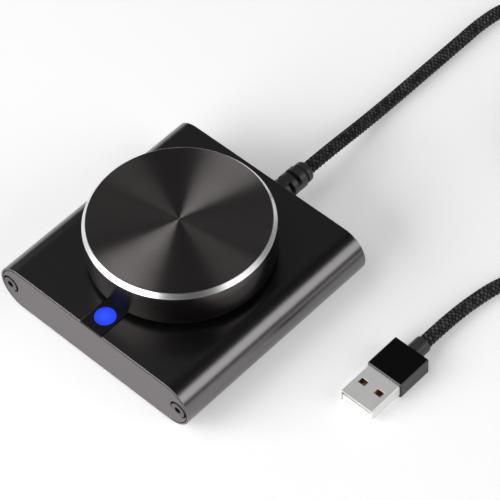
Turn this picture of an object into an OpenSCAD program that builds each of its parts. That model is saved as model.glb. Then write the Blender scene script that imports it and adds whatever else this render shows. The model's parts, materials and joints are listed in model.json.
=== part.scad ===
// Desk volume knob on a lead: a flat extruded case, a large turned knob that turns without end
// and presses down to mute, a light in a black strip, and a braided lead with a flat plug.
// Millimetres. Z is up and z = 0 is the table. The case is centred on the origin, and its front,
// with the light, looks along -Y. The lead leaves along +Y.

/* [Case] */
// Width of the case, across its rounded sides
body_w = 77; // [70:1:100]
// Depth of the case, along the extrusion
body_d = 76; // [70:1:100]
// Height of the case, which is also the diameter of its rounded sides
body_h = 16.4; // [15:0.2:22]
// Wall of the extrusion
wall = 2; // [1.6:0.1:2.6]
// Lip of the extrusion left round each end plate
rim = 0.7; // [0.5:0.1:1]
// Thickness of each end plate
plate_t = 3; // [2:0.5:4]
// Height of the rubber feet
foot_h = 1; // [0.6:0.2:3]
// Diameter of a rubber foot
foot_d = 10; // [6:1:14]

/* [Knob] */
// Diameter of the knob
knob_d = 57; // [48:1:70]
// Height of the knob
knob_h = 12.6; // [11:0.2:18]
// Gap between the case and the knob at rest
knob_gap = 2.4; // [1.6:0.1:4]
// Width of the bright chamfer, seen from above
chamfer_r = 1.1; // [0.6:0.1:2]
// Height of the bright chamfer
chamfer_h = 1.4; // [0.6:0.1:2]
// Side wall of the knob
knob_wall = 4; // [2.5:0.5:6]
// Top wall of the knob
knob_top = 3.6; // [2:0.2:4.4]
// Travel of the knob when it is pressed
press = 0.5; // [0.3:0.1:0.8]

/* [Light strip] */
// Width of the black strip let into the top of the case
strip_w = 8.4; // [7.8:0.2:12]
// Diameter of the round light
light_d = 6.5; // [5:0.5:7]
// Distance from the front edge to the light's centre
light_in = 6; // [5.5:0.5:8]

/* [Encoder] */
// Diameter of the shaft
shaft_d = 6; // [5:0.5:6]
// Width and depth of the encoder's body
enc_w = 11.7; // [11:0.1:14]
// Height of the encoder's body under the case's top wall
enc_h = 6.5; // [6:0.1:8]
// Diameter of the threaded bushing
bush_d = 7; // [6.8:0.2:9]
// Clicks in one turn
clicks = 20; // [12:4:28]

/* [Board] */
// Thickness of the circuit board
board_t = 1.6; // [1:0.2:2]
// Depth of the circuit board
board_d = 56; // [50:1:60]

/* [Lead] */
// Diameter of the braided lead
cord_d = 4.5; // [3.6:0.1:5.4]
// Length of the strain relief outside the case
boot_l = 15; // [12:1:18]
// Outer radius of the wound coil, on the lead's centreline
coil_r = 35.5; // [30:0.5:36]
// Gap between neighbouring turns of the coil
coil_gap = 0.5; // [0.45:0.05:0.8]

/* [Plug] */
// Width of the plug's metal shell
shell_w = 12; // [11:0.5:14]
// Thickness of the plug's metal shell
shell_h = 4.5; // [4:0.5:5]
// Length of shell that shows
shell_l = 12; // [10:0.5:14]
// Width of the plug's housing
housing_w = 12.9; // [12.5:0.1:18]
// Thickness of the plug's housing
housing_h = 6; // [5.6:0.1:8]
// Length of the plug's housing
housing_l = 12.6; // [10:0.2:18]

/* [Hidden] */
$fn = 96;
e = 0.01; // how far a cut runs past the face that it opens
fit = 0.05; // clearance round a piece that is pushed into its seat
run = 0.04; // running clearance round the shaft

// Heights in the case
case_top = foot_h + body_h;
case_mid = foot_h + body_h / 2;
ceiling = case_top - wall;
flat_w = body_w - body_h; // the flat of the case between its rounded sides
front = -body_d / 2;
rear = body_d / 2;

// End plates and their screws
plate_gap = 0.15;
screw_x = body_w / 2 - body_h / 4;
head_d = 5.5;
head_h = 1.7;
head_proud = 0.2;
thread_d = 2.5;
screw_l = 9;
port_d = thread_d + 2 * fit;
boss_d = 5.8;
port_web = 3; // web that ties a screw port to the rounded side

// Board and its guides
board_top = ceiling - enc_h;
board_z = board_top - board_t;
guide_in = flat_w / 2 - 1.4; // where the guides start
board_w = 2 * (flat_w / 2 + 0.2);
guide_lip = 1.4;
board_y0 = front + plate_t + 0.6;
board_y1 = board_y0 + board_d;

// Light
light_y = front + light_in;
stem_d = light_d - 2.4;
strip_play = 0.25; // the strip sits against one side of its slot, and this is free at the other
kerf = 0.5; // depth of the saw cut that the slot's corner leaves in the front plate
strip_end = -knob_d / 2 + 8;
bar_lip = 1.2;
led_d = 3;
led_top = ceiling - 2;
stem_end = led_top + 0.4;

// Encoder
bush_top = ceiling + wall + 3;
washer_t = 0.5;
nut_t = 2;
nut_w = bush_d + 3;
frame_t = 1;
base_top = ceiling - frame_t;
seat_z = board_top + 1.5; // where the rotor sits
well_z = board_top + 0.5; // floor of the switch well
race_d = enc_w - 1.3;
rotor_d = race_d - 0.6;
drive_w = 3.2;
dome_h = 0.5;
rotor_z = seat_z + 0.2;
rotor_face = rotor_z + 2.2;
crown_top = rotor_face + 0.8;
shoulder_z = rotor_face + press + 0.1;
shaft_tip = well_z + dome_h + 0.05;
lug_x = enc_w / 2 + 0.05;
lug_t = 0.3;
pin_y = enc_w / 2 - 1;

// Knob
knob_z = case_top + knob_gap;
knob_face = knob_z + knob_h;
boss_z = bush_top + press + 0.5;
core_d = 12.8;
knob_boss_d = 18;
core_top = knob_face - knob_top;
shaft_top = core_top - 0.4;
flat_depth = shaft_d / 4;

// Lead
cord_r = cord_d / 2;
cable_x = 1.2;
cable_z = case_mid - 0.8;
boot_end = rear + boot_l;
boot_d0 = cord_d + 3.3;
boot_d1 = cord_d + 2.4;
neck_d = cord_d + 1.8;
coil_turns = 7.25;
coil_pitch = cord_d + coil_gap;
coil_at = [71.4, 133.5];
tie_t = 0.8;
coil_z = tie_t + 0.2 + cord_r;
tie_w = 8;
cord_sides = 8;
coil_sides = 6;
rings_per_turn = 24;

// Plug
plug_x = 68.4;
plug_y = 0;
plug_z = housing_h / 2;
shell_t = 0.3;
shell_in = 3; // how far the shell reaches into its housing
sleeve_d = cord_d + 1;
sleeve_l = 5.1;
housing_y = plug_y + shell_l;
sleeve_y = housing_y + housing_l;
plug_end = sleeve_y + sleeve_l;

// Route of the lead from the strain relief to the coil, and from the coil to the plug
lead_route = [
    [cable_x, boot_end, cable_z], [cable_x, boot_end + cord_d, cable_z],
    [0.9, 66, 7.6], [-0.2, 75, 5.2], [-1.1, 84, 3.2], [-1.5, 94, cord_r], [-1.5, 106, cord_r],
    [-1.5, 118, cord_r], [-1.5, 130, cord_r], [-1.4, 140, cord_r], [0, 149, cord_r],
    [5, 158.5, cord_r], [13, 165.4, cord_r], [23, 168.3, cord_r], [34, 169, cord_r],
    [45, 169, cord_r], [54, 169, 2.8],
    [coil_at[0] - 2 * cord_d, coil_at[1] + coil_r, coil_z],
    [coil_at[0] - cord_d, coil_at[1] + coil_r, coil_z]];
plug_route = [
    [coil_at[0] + coil_r, coil_at[1] - cord_d, coil_z + coil_pitch],
    [coil_at[0] + coil_r, coil_at[1] - 2 * cord_d, coil_z + coil_pitch],
    [106.2, 114.5, 7], [103.4, 104, 4.4], [98, 94.6, 2.6], [90.7, 86.2, cord_r],
    [82.5, 78.5, cord_r],
    [75.5, 70.5, cord_r], [71, 61, cord_r], [69, 51, cord_r], [68.4, 42, 2.6],
    [plug_x, plug_end + cord_d, plug_z], [plug_x, plug_end, plug_z]];

// ---- shared shapes ----

// A flat outline with round ends, centred on the origin.
module stadium(w, h) {
    square([w - h, h], center = true);
    for (s = [-1, 1]) translate([s * (w - h) / 2, 0]) circle(d = h);
}

// A rectangle with round corners, centred on the origin.
module round_rect(w, h, r) {
    square([w - 2 * r, h], center = true);
    square([w, h - 2 * r], center = true);
    for (x = [-1, 1], y = [-1, 1]) translate([x * (w / 2 - r), y * (h / 2 - r)]) circle(r);
}

// A rectangle with its corners cut off at 45 degrees, centred on the origin.
module cut_rect(w, h, c) {
    polygon([[-w / 2 + c, -h / 2], [w / 2 - c, -h / 2], [w / 2, -h / 2 + c], [w / 2, h / 2 - c],
        [w / 2 - c, h / 2], [-w / 2 + c, h / 2], [-w / 2, h / 2 - c], [-w / 2, -h / 2 + c]]);
}

// Runs an outline drawn in X and Z along Y, from y0 to y1.
module along_y(y0, y1) {
    translate([0, y1, 0]) rotate([90, 0, 0]) linear_extrude(y1 - y0) children();
}

// A rod along Y.
module rod_y(y0, y1, d0, d1) {
    translate([0, y1, 0]) rotate([90, 0, 0]) cylinder(h = y1 - y0, d1 = d1, d2 = d0);
}

// A disc or tube stood on z0.
module ring(z0, z1, d, bore = 0) {
    translate([0, 0, z0]) difference() {
        cylinder(h = z1 - z0, d = d);
        if (bore > 0) translate([0, 0, -e]) cylinder(h = z1 - z0 + 2 * e, d = bore);
    }
}

// A block that stands on z0, centred in X and Y.
module block(w, d, z0, z1) {
    translate([-w / 2, -d / 2, z0]) cube([w, d, z1 - z0]);
}

function unit(v) = v / norm(v);

// The direction of a route at point i.
function heading(p, i) = unit(p[min(i + 1, len(p) - 1)] - p[max(i - 1, 0)]);

// One ring of a tube: sides points round p, square to t.
function ring_points(p, t, r, sides) =
    let (side = unit(cross(t, [0, 0, 1])), up = cross(side, t))
    [for (k = [0 : sides - 1]) let (a = 360 * k / sides + 90)
        p + r * (cos(a) * side + sin(a) * up)];

// A closed tube swept along a route, with its end rings square to end headings t0 and t1.
module tube(route, r, sides, t0, t1) {
    n = len(route);
    points = [for (i = [0 : n - 1])
        each ring_points(route[i], i == 0 ? t0 : i == n - 1 ? t1 : heading(route, i), r, sides)];
    walls = [for (i = [0 : n - 2], k = [0 : sides - 1]) let (
            a = i * sides + k, b = i * sides + (k + 1) % sides)
        each [[a, b, b + sides], [a, b + sides, a + sides]]];
    caps = [for (k = [1 : sides - 2])
        each [[0, k + 1, k], let (b = (n - 1) * sides) [b, b + k, b + k + 1]]];
    polyhedron(points, concat(walls, caps), convexity = 10);
}

function route_length(p) = len(p) < 2 ? 0 :
    [for (i = 1, s = norm(p[1] - p[0]); i < len(p); i = i + 1,
        s = s + (i < len(p) ? norm(p[i] - p[i - 1]) : 0)) s][len(p) - 2];

// ---- the coil's line ----

// The coil winds in for half its turns and out again on top. t counts turns from the start.
coil_half = coil_turns / 2;
function coil_radius(t) = coil_r - coil_pitch * (coil_half - abs(t - coil_half));
function climb(u) = let (v = min(1, max(0, u))) v * v * (3 - 2 * v);
function coil_height(t) = coil_z + coil_pitch * climb((t - coil_half) * 2 + 0.5);
function coil_point(t) = let (a = 90 - 360 * t)
    [coil_at[0] + coil_radius(t) * cos(a), coil_at[1] + coil_radius(t) * sin(a), coil_height(t)];
coil_steps = coil_turns * rings_per_turn;
coil_line = concat(
    [coil_point(0) - [cord_d, 0, 0]],
    [for (i = [0 : coil_steps]) coil_point(i / rings_per_turn)],
    [coil_point(coil_turns) - [0, cord_d, 0]]);

// Least gap between two stretches of the coil that are half a turn or more apart.
coil_free = min([for (i = [0 : len(coil_line) - 1], j = [i + rings_per_turn / 2 : len(coil_line) - 1])
    norm(coil_line[i] - coil_line[j])]) - cord_d;
echo(coil_least_gap_mm = coil_free);
echo(lead_mm = route_length(lead_route), coil_mm = route_length(coil_line),
    plug_lead_mm = route_length(plug_route));
echo(cord_mm = route_length(lead_route) + route_length(coil_line) + route_length(plug_route));

// ---- case ----

module body_shell() color([0.10, 0.10, 0.115]) {
    difference() {
        along_y(front, rear) translate([0, case_mid]) extrusion();
        for (y = [front - e, rear - plate_t]) along_y(y, y + plate_t + e)
            translate([0, case_mid]) stadium(body_w - 2 * rim, body_h - 2 * rim);
        translate([-strip_w / 2, front - e, ceiling - e])
            cube([strip_w + strip_play, strip_end - front + e, wall + 2 * e]);
        ring(ceiling - e, case_top + e, bush_d + 0.2);
    }
}

// Cross-section of the case, with a screw port and a board guide at each side.
module extrusion() {
    groove_z = board_z - case_mid;
    difference() {
        stadium(body_w, body_h);
        difference() {
            stadium(body_w - 2 * wall, body_h - 2 * wall);
            for (s = [-1, 1]) {
                translate([s * screw_x, 0]) circle(d = boss_d);
                translate([s * (screw_x + body_w / 2 - wall / 2) / 2, 0])
                    square([body_w / 2 - wall / 2 - screw_x, port_web], center = true);
                translate([s * (guide_in + screw_x) / 2, groove_z + board_t / 2])
                    square([screw_x - guide_in, board_t + 2 * guide_lip], center = true);
            }
        }
        translate([0, groove_z + board_t / 2])
            square([board_w + 2 * fit, board_t + 2 * fit], center = true);
        for (s = [-1, 1]) translate([s * screw_x, 0]) circle(d = port_d);
    }
}

// One end plate between y0 and y1, with its screw holes sunk from the outside.
module end_plate(y0, y1, outside) {
    difference() {
        along_y(y0, y1) translate([0, case_mid])
            stadium(body_w - 2 * (rim + plate_gap), body_h - 2 * (rim + plate_gap));
        for (s = [-1, 1]) translate([s * screw_x, 0, case_mid]) {
            rod_y(y0 - e, y1 + e, thread_d + 0.7, thread_d + 0.7);
            translate([0, outside, 0]) rod_y(-head_h + head_proud, head_h - head_proud,
                head_d + 0.6, head_d + 0.6);
        }
    }
}

module front_plate() color([0.42, 0.40, 0.40]) difference() {
    end_plate(front, front + plate_t, front);
    translate([strip_w / 2 - fit, front - e, case_top - rim - plate_gap - kerf])
        cube([strip_play + fit, 2 * kerf, kerf + 1]);
}

module rear_plate() color([0.42, 0.40, 0.40]) difference() {
    end_plate(rear - plate_t, rear, rear);
    translate([cable_x, 0, cable_z]) rod_y(rear - plate_t - e, rear + e, neck_d + 2 * fit,
        neck_d + 2 * fit);
}

// A low round head with a six-sided socket, and the screw behind it. It points along +Y.
module socket_screw() {
    difference() {
        union() {
            rod_y(0, head_h, head_d - 0.5, head_d);
            rod_y(head_h - e, screw_l, thread_d, thread_d);
        }
        translate([0, -e, 0]) rotate([-90, 0, 0]) cylinder(h = 1.2, r = 1.25, $fn = 6);
    }
}

module front_screws() color([0.13, 0.13, 0.14])
    for (s = [-1, 1]) translate([s * screw_x, front - head_proud, case_mid]) socket_screw();

module rear_screws() color([0.13, 0.13, 0.14])
    for (s = [-1, 1]) translate([s * screw_x, rear + head_proud, case_mid])
        rotate([0, 0, 180]) socket_screw();

module rubber_feet() color([0.08, 0.08, 0.08])
    for (x = [-1, 1], y = [-1, 1])
        translate([x * (flat_w / 2 - foot_d / 2 - 1), y * (body_d / 2 - foot_d / 2 - 4), 0]) {
            cylinder(h = foot_h / 2, d1 = foot_d - foot_h / 2, d2 = foot_d);
            translate([0, 0, foot_h / 2]) cylinder(h = foot_h / 2, d = foot_d);
        }

// ---- light ----

module light_bar() color([0.04, 0.04, 0.045]) {
    w = strip_w - 2 * fit;
    lip_y = front + plate_t + 0.1;
    difference() {
        union() {
            translate([-w / 2, front, case_top - rim]) cube([w, strip_end - fit - front, rim]);
            translate([-w / 2, lip_y, ceiling - e])
                cube([w, strip_end - fit - lip_y, wall - rim + 2 * e]);
            translate([-w / 2 - bar_lip, lip_y, ceiling - 0.8])
                cube([w + 2 * bar_lip, strip_end + bar_lip - lip_y, 0.8]);
        }
        translate([0, light_y, 0]) {
            ring(case_top - rim, case_top + e, light_d + 2 * fit);
            ring(ceiling - 1, case_top, stem_d + 2 * fit);
        }
    }
}

module light_lens() color([0.25, 0.35, 1]) translate([0, light_y, 0]) {
    ring(case_top - rim, case_top, light_d);
    ring(stem_end, case_top - rim, stem_d);
}

module status_led() color([0.7, 0.75, 0.95]) translate([0, light_y, 0]) {
    ring(board_top + 0.4, board_top + 1.2, led_d + 0.8);
    ring(board_top + 1.2 - e, led_top - led_d / 2, led_d);
    translate([0, 0, led_top - led_d / 2]) sphere(d = led_d);
    for (s = [-1, 1]) translate([s * 1.27 / 2, 0, 0]) block(0.5, 0.5, board_z - 1.2, board_top + 0.5);
}

// ---- board ----

module circuit_board() color([0.05, 0.22, 0.12]) difference() {
    translate([-board_w / 2, board_y0, board_z]) cube([board_w, board_d, board_t]);
    for (s = [-1, 1]) {
        translate([s * 1.27 / 2, light_y, 0]) block(0.7, 0.7, board_z - e, board_top + e);
        translate([s * (lug_x + lug_t / 2), 0, 0]) block(lug_t + 0.3, 2.6, board_z - e, board_top + e);
    }
    for (p = pin_places()) translate(p) block(1.1, 0.6, board_z - e, board_top + e);
}

function pin_places() = concat(
    [for (k = [-1 : 1]) [k * 2.5, -pin_y, 0]], [for (s = [-1, 1]) [s * 2.5, pin_y, 0]]);

chip_at = [-18, 8];
chip_w = 5;
chip_l = 8;
chip_t = 1.5;

module controller_chip() color([0.06, 0.06, 0.06]) translate([chip_at[0], chip_at[1], 0]) difference() {
    block(chip_w, chip_l, board_top + 0.15, board_top + chip_t);
    translate([-chip_w / 2 + 1, chip_l / 2 - 1, board_top + chip_t - 0.1]) cylinder(h = 1, d = 0.8);
}

module chip_legs() color([0.75, 0.75, 0.76]) translate([chip_at[0], chip_at[1], 0])
    for (s = [-1, 1], k = [0 : 9]) translate([s * chip_w / 2, (k - 4.5) * 0.75, 0]) {
        translate([s > 0 ? 0 : -0.5, -0.15, board_top + 0.7]) cube([0.5, 0.3, 0.2]);
        translate([s > 0 ? 0.3 : -0.5, -0.15, board_top]) cube([0.2, 0.3, 0.8]);
        translate([s > 0 ? 0.3 : -0.9, -0.15, board_top]) cube([0.6, 0.3, 0.15]);
    }

module crystal() color([0.8, 0.8, 0.8]) translate([-18, -6, board_top]) {
    linear_extrude(0.6) stadium(11, 4.6);
    linear_extrude(3.5) stadium(10.2, 3.8);
}

module capacitors() color([0.55, 0.55, 0.6]) for (x = [16, 22]) translate([x, 6, board_top]) {
    cylinder(h = 0.6, d = 4.6);
    cylinder(h = 1.2, d = 3.6);
    translate([0, 0, 1.2]) cylinder(h = 4, d = 4.2);
}

// Four-way socket for the lead's wires, open towards the rear of the case.
header_y = board_y1 - 6.5;
header_z = board_top + 3;
wire_step = 2;
wire_d = 1;

module wire_header() color([0.9, 0.89, 0.84]) difference() {
    translate([cable_x, header_y + 2.75, 0]) block(4 * wire_step + 2, 5.5, board_top, board_top + 5);
    for (k = [-1.5 : 1.5]) translate([cable_x + k * wire_step, 0, header_z])
        rod_y(header_y + 2.5, header_y + 6, wire_d + 0.3, wire_d + 0.3);
}

module inner_wires() color([0.7, 0.2, 0.2]) for (k = [-1.5 : 1.5]) {
    y1 = header_y + 2.6;
    y0 = rear - plate_t - 7;
    start = [cable_x + k * (wire_d + fit), y0, cable_z];
    goal = [cable_x + k * wire_step, y1, header_z];
    bent = 1.5; // the bend is over before the wire reaches the socket
    tube([for (i = [0 : 6]) let (u = i / 6)
        [start[0] + (goal[0] - start[0]) * climb(bent * u), start[1] + (goal[1] - start[1]) * u,
            start[2] + (goal[2] - start[2]) * climb(bent * u)]],
        wire_d / 2, 6, [0, -1, 0], [0, -1, 0]);
}

// The end of the lead inside the case and the strain relief.
module inner_lead() color([0.1, 0.1, 0.1]) translate([cable_x, 0, cable_z])
    rod_y(rear - plate_t - 7, boot_end, cord_d, cord_d);

// ---- encoder ----

module encoder_base() color([0.12, 0.12, 0.12]) difference() {
    block(enc_w, enc_w, board_top, base_top);
    ring(seat_z, base_top + e, race_d);
    ring(well_z, seat_z + e, 6);
}

module encoder_frame() color([0.72, 0.72, 0.7]) {
    difference() {
        union() {
            block(2 * (lug_x + lug_t), enc_w, base_top, ceiling);
            ring(ceiling - e, bush_top, bush_d);
        }
        ring(base_top - e, bush_top + e, shaft_d + 2 * run);
    }
    for (s = [-1, 1]) translate([s * (lug_x + lug_t / 2), 0, 0]) {
        block(lug_t, enc_w - 4, board_top + 0.6, base_top + e);
        block(lug_t, 2, board_z - 1, board_top + 0.6 + e);
    }
}

module encoder_pins() color([0.8, 0.75, 0.6])
    for (p = pin_places()) translate(p) block(0.8, 0.3, board_z - 1.4, board_top);

module encoder_rotor() color([0.85, 0.84, 0.8]) difference() {
    ring(rotor_z, crown_top, rotor_d);
    ring(rotor_face, crown_top + e, shaft_d + 0.8);
    block(drive_w + 0.2, drive_w + 0.2, rotor_z - e, crown_top);
    for (k = [0 : clicks - 1]) rotate([0, 0, 360 * k / clicks]) translate([0, 0, crown_top + 0.1])
        rod_y(shaft_d / 2, rotor_d / 2 + 1, 0.8, 0.8);
}

// A flat spring under the frame, with two bumps that click into the rotor's notches. It is drawn
// lifted, as it passes over the rotor's crown from one click to the next.
module detent_spring() color([0.8, 0.7, 0.45]) {
    bump_d = 0.5;
    bump_z = crown_top + run + bump_d / 2;
    ring(base_top - 0.25, base_top, rotor_d, shaft_d + 0.8);
    for (s = [-1, 1]) translate([0, s * (rotor_d + shaft_d + 0.8) / 4, 0]) {
        translate([0, 0, bump_z]) sphere(d = bump_d);
        ring(bump_z, base_top - 0.2, bump_d);
    }
}

module switch_dome() color([0.85, 0.85, 0.85]) {
    dome_d = 5.2;
    dome_r = (dome_d * dome_d / 4 + dome_h * dome_h) / (2 * dome_h);
    intersection() {
        ring(well_z, well_z + dome_h, dome_d);
        translate([0, 0, well_z + dome_h - dome_r]) difference() {
            sphere(r = dome_r);
            sphere(r = dome_r - 0.15);
        }
    }
}

module bushing_washer() color([0.8, 0.8, 0.8])
    ring(case_top, case_top + washer_t, nut_w + 2, bush_d + 2 * fit);

module bushing_nut() color([0.75, 0.75, 0.76]) difference() {
    translate([0, 0, case_top + washer_t])
        cylinder(h = nut_t, d = nut_w / cos(30), $fn = 6);
    ring(case_top, case_top + washer_t + nut_t + e, bush_d + 2 * fit);
}

// The shaft: a square drive in the rotor, a round journal in the bushing, a flatted top.
module encoder_shaft() color([0.78, 0.78, 0.8]) difference() {
    union() {
        ring(shoulder_z, shaft_top, shaft_d);
        block(drive_w, drive_w, shaft_tip, shoulder_z + e);
    }
    translate([-shaft_d, shaft_d / 2 - flat_depth, boss_z])
        cube([2 * shaft_d, shaft_d, shaft_top - boss_z + e]);
}

// ---- knob ----

// A pressed-in core that takes the flatted shaft.
module knob_core() color([0.15, 0.15, 0.15]) difference() {
    ring(boss_z, core_top, core_d);
    difference() {
        ring(boss_z - e, shaft_top + 0.1, shaft_d + 2 * fit);
        translate([-shaft_d, shaft_d / 2 - flat_depth + fit, boss_z - e])
            cube([2 * shaft_d, shaft_d, knob_h]);
    }
}

// The turned cap: one revolved profile, open underneath, with a boss for the core.
module knob_cap() color([0.20, 0.20, 0.21]) rotate_extrude($fn = 180) {
    r = knob_d / 2;
    edge = 0.4;
    polygon([[0, core_top], [core_d / 2 + fit, core_top], [core_d / 2 + fit, boss_z],
        [knob_boss_d / 2, boss_z], [knob_boss_d / 2, core_top], [r - knob_wall, core_top],
        [r - knob_wall, knob_z], [r - edge, knob_z], [r, knob_z + edge],
        [r, knob_face - chamfer_h], [r - chamfer_r, knob_face], [0, knob_face]]);
}

// ---- lead ----

// Strain relief: a flange inside the plate, a neck through it, a boot and a round-ended collar.
// Rows of slots are open at the sides and at the top and bottom by turns, so the boot can bend.
module strain_relief() color([0.09, 0.09, 0.095]) translate([cable_x, 0, cable_z]) {
    slot_w = 1.4;
    slot_step = 3.35;
    slot_in = 6.2; // from the boot's end to the first slot
    web_w = 2.6; // what joins one ring of the boot to the next
    core = cord_d + 0.8;
    collar_y = boot_end - 2.2;
    groove_w = 1.1;
    round_r = 0.9; // rounding of the collar's end
    difference() {
        union() {
            rod_y(rear - plate_t - 1.6, rear - plate_t, neck_d + 2.4, neck_d + 2.4);
            rod_y(rear - plate_t - e, rear + e, neck_d, neck_d);
            rod_y(rear, collar_y - groove_w, boot_d0, boot_d0 - 0.2);
            rod_y(rear, boot_end - round_r, core + 0.5, core + 0.5);
            translate([0, boot_end, 0]) rotate([90, 0, 0]) rotate_extrude() polygon(concat(
                [[0, boot_end - collar_y], [0, 0]],
                [for (a = [90 : -22.5 : 0]) [boot_d1 / 2 - round_r * (1 - cos(a)),
                    round_r * (1 - sin(a))]],
                [[boot_d1 / 2, boot_end - collar_y]]));
        }
        rod_y(rear - plate_t - 2, boot_end + e, cord_d + 2 * fit, cord_d + 2 * fit);
        for (k = [0 : floor((boot_l - slot_in - slot_w) / slot_step)]) {
            y = boot_end - slot_in - k * slot_step;
            difference() {
                rod_y(y - slot_w / 2, y + slot_w / 2, boot_d0 + 1, boot_d0 + 1);
                rod_y(y - slot_w, y + slot_w, core, core);
                translate([0, y, 0]) rotate([0, (k + 1) % 2 * 90, 0])
                    cube([web_w, 2 * slot_w, boot_d0 + 2], center = true);
            }
        }
    }
}

module lead() color([0.14, 0.14, 0.14]) tube(lead_route, cord_r, cord_sides, [0, 1, 0], [1, 0, 0]);

module coil() color([0.14, 0.14, 0.14]) tube(coil_line, cord_r, coil_sides, [1, 0, 0], [0, -1, 0]);

module plug_lead() color([0.14, 0.14, 0.14])
    tube(plug_route, cord_r, cord_sides, [0, -1, 0], [0, -1, 0]);

// A strap round the bundle of turns, where each turn of one layer lies over one of the other.
module cable_tie() color([0.1, 0.1, 0.1]) {
    turn = 1 / 8; // the turns cross the strap an eighth of a turn after the start
    outer = coil_radius(turn) + cord_r;
    inner = coil_radius(floor(coil_half - 0.25 - turn) + turn) - cord_r;
    play = 0.05 + tie_w * tie_w / (8 * inner); // room for the turns to curve under the strap
    w = outer - inner + 2 * play;
    h = 2 * cord_r + coil_pitch + 2 * 0.2;
    translate([coil_at[0], coil_at[1], 0]) rotate([0, 0, 90 - 360 * turn])
        translate([(outer + inner) / 2, 0, tie_t + h / 2])
            along_y(-tie_w / 2, tie_w / 2) difference() {
                round_rect(w + 2 * tie_t, h + 2 * tie_t, 2.6);
                round_rect(w, h, 1.8);
            }
}

// ---- plug ----

module at_plug(y) translate([plug_x, y, plug_z]) children();

module plug_sleeve() color([0.08, 0.08, 0.085]) at_plug(0) rod_y(sleeve_y, plug_end, sleeve_d, sleeve_d);

module plug_housing() color([0.05, 0.05, 0.055]) difference() {
    c = 0.35;
    intersection() {
        at_plug(0) along_y(housing_y, sleeve_y) cut_rect(housing_w, housing_h, c);
        translate([plug_x, housing_y + housing_l / 2, 0]) linear_extrude(housing_h)
            cut_rect(housing_w, housing_l, c);
        translate([plug_x - housing_w / 2, housing_y + housing_l / 2, plug_z]) rotate([90, 0, 90])
            linear_extrude(housing_w) cut_rect(housing_l, housing_h, c);
    }
    at_plug(0) along_y(housing_y - e, housing_y + shell_in)
        round_rect(shell_w + 2 * fit, shell_h + 2 * fit, 0.6);
}

module plug_shell() color([0.80, 0.80, 0.82]) difference() {
    at_plug(0) along_y(plug_y, housing_y + shell_in) difference() {
        round_rect(shell_w, shell_h, 0.6);
        round_rect(shell_w - 2 * shell_t, shell_h - 2 * shell_t, 0.3);
    }
    for (x = [-1, 1]) at_plug(plug_y + 5.5 + 1) translate([x * 3, 0, 0])
        block(2.5, 2, -shell_h, shell_h);
}

// Moulded insert: a block at the back of the shell and a tongue along its lower half.
module plug_insert() color([0.93, 0.93, 0.92]) at_plug(0) {
    w = shell_w - 2 * shell_t - 2 * fit;
    h = shell_h - 2 * shell_t - 2 * fit;
    tongue_y = plug_y + 0.4;
    block_y = plug_y + 9;
    back_y = housing_y + shell_in;
    intersection() {
        along_y(tongue_y, back_y) round_rect(w, h, 0.4);
        union() {
            translate([-w / 2, block_y, -h / 2]) cube([w, back_y - block_y, h]);
            translate([-w / 2, tongue_y, -h / 2]) cube([w, block_y - tongue_y + e, h / 2 - 0.1]);
        }
    }
}

module plug_contacts() color([0.85, 0.65, 0.3]) at_plug(0)
    for (x = [-3.5, -1, 1, 3.5]) translate([x - 0.5, plug_y + 1.4, -0.1])
        cube([1, 7.6, 0.15]);

body_shell();
front_plate();
rear_plate();
front_screws();
rear_screws();
rubber_feet();
light_bar();
light_lens();
status_led();
circuit_board();
controller_chip();
chip_legs();
crystal();
capacitors();
wire_header();
inner_wires();
inner_lead();
encoder_base();
encoder_frame();
encoder_pins();
encoder_rotor();
detent_spring();
switch_dome();
bushing_washer();
bushing_nut();
encoder_shaft();
knob_core();
knob_cap();
strain_relief();
lead();
coil();
plug_lead();
cable_tie();
plug_sleeve();
plug_housing();
plug_shell();
plug_insert();
plug_contacts();
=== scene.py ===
# %% [markdown]
# # A desk volume knob on a lead
#
# The object is a flat anodised case with a large turned knob on top. The knob turns without end and
# presses down to mute. A blue light sits in a black strip, and a braided lead ends in a flat plug.
# The CAD model holds the sizes and the joints. This file loads it as a fixed frame and gives it the
# looks of the real thing: rounded edges, a woven lead, and a finish for every surface.

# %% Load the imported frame
import json
import math

import bmesh
import bpy
import numpy as np
from mathutils import Matrix, Vector


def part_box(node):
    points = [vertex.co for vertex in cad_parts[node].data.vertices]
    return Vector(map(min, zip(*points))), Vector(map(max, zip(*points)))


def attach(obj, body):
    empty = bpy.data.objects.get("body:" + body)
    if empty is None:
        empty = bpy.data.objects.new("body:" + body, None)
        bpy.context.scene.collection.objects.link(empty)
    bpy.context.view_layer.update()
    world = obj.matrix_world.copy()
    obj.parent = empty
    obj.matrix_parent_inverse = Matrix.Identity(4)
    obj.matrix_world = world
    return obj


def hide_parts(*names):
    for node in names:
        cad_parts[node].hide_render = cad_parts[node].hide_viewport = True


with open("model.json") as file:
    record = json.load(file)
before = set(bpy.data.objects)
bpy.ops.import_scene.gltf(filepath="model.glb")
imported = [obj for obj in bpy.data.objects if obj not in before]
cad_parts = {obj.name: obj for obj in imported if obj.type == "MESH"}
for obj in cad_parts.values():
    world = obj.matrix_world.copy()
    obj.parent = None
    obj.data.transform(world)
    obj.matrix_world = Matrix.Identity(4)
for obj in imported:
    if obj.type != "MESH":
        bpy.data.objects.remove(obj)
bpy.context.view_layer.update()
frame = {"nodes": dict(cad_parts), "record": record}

MM = 0.001


def point(x, y, z):
    """A point written in millimetres, as Blender's metres."""
    return Vector((x, y, z)) * MM


# %% [markdown]
# ## The camera
#
# The photograph was taken with a long lens from the right of the front, high up, so lines that run
# back stay almost parallel. A long lens far away gives that. The camera was fitted to the edges of
# the case and of the knob, and it is turned a little about its own line of sight, as the photo is.

# %% Place the camera
camera_at = point(353.84, -320.70, 613.2)
looks_at = point(5.422, 22.766, 1.0)
tilt = math.radians(-3.141)

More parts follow.
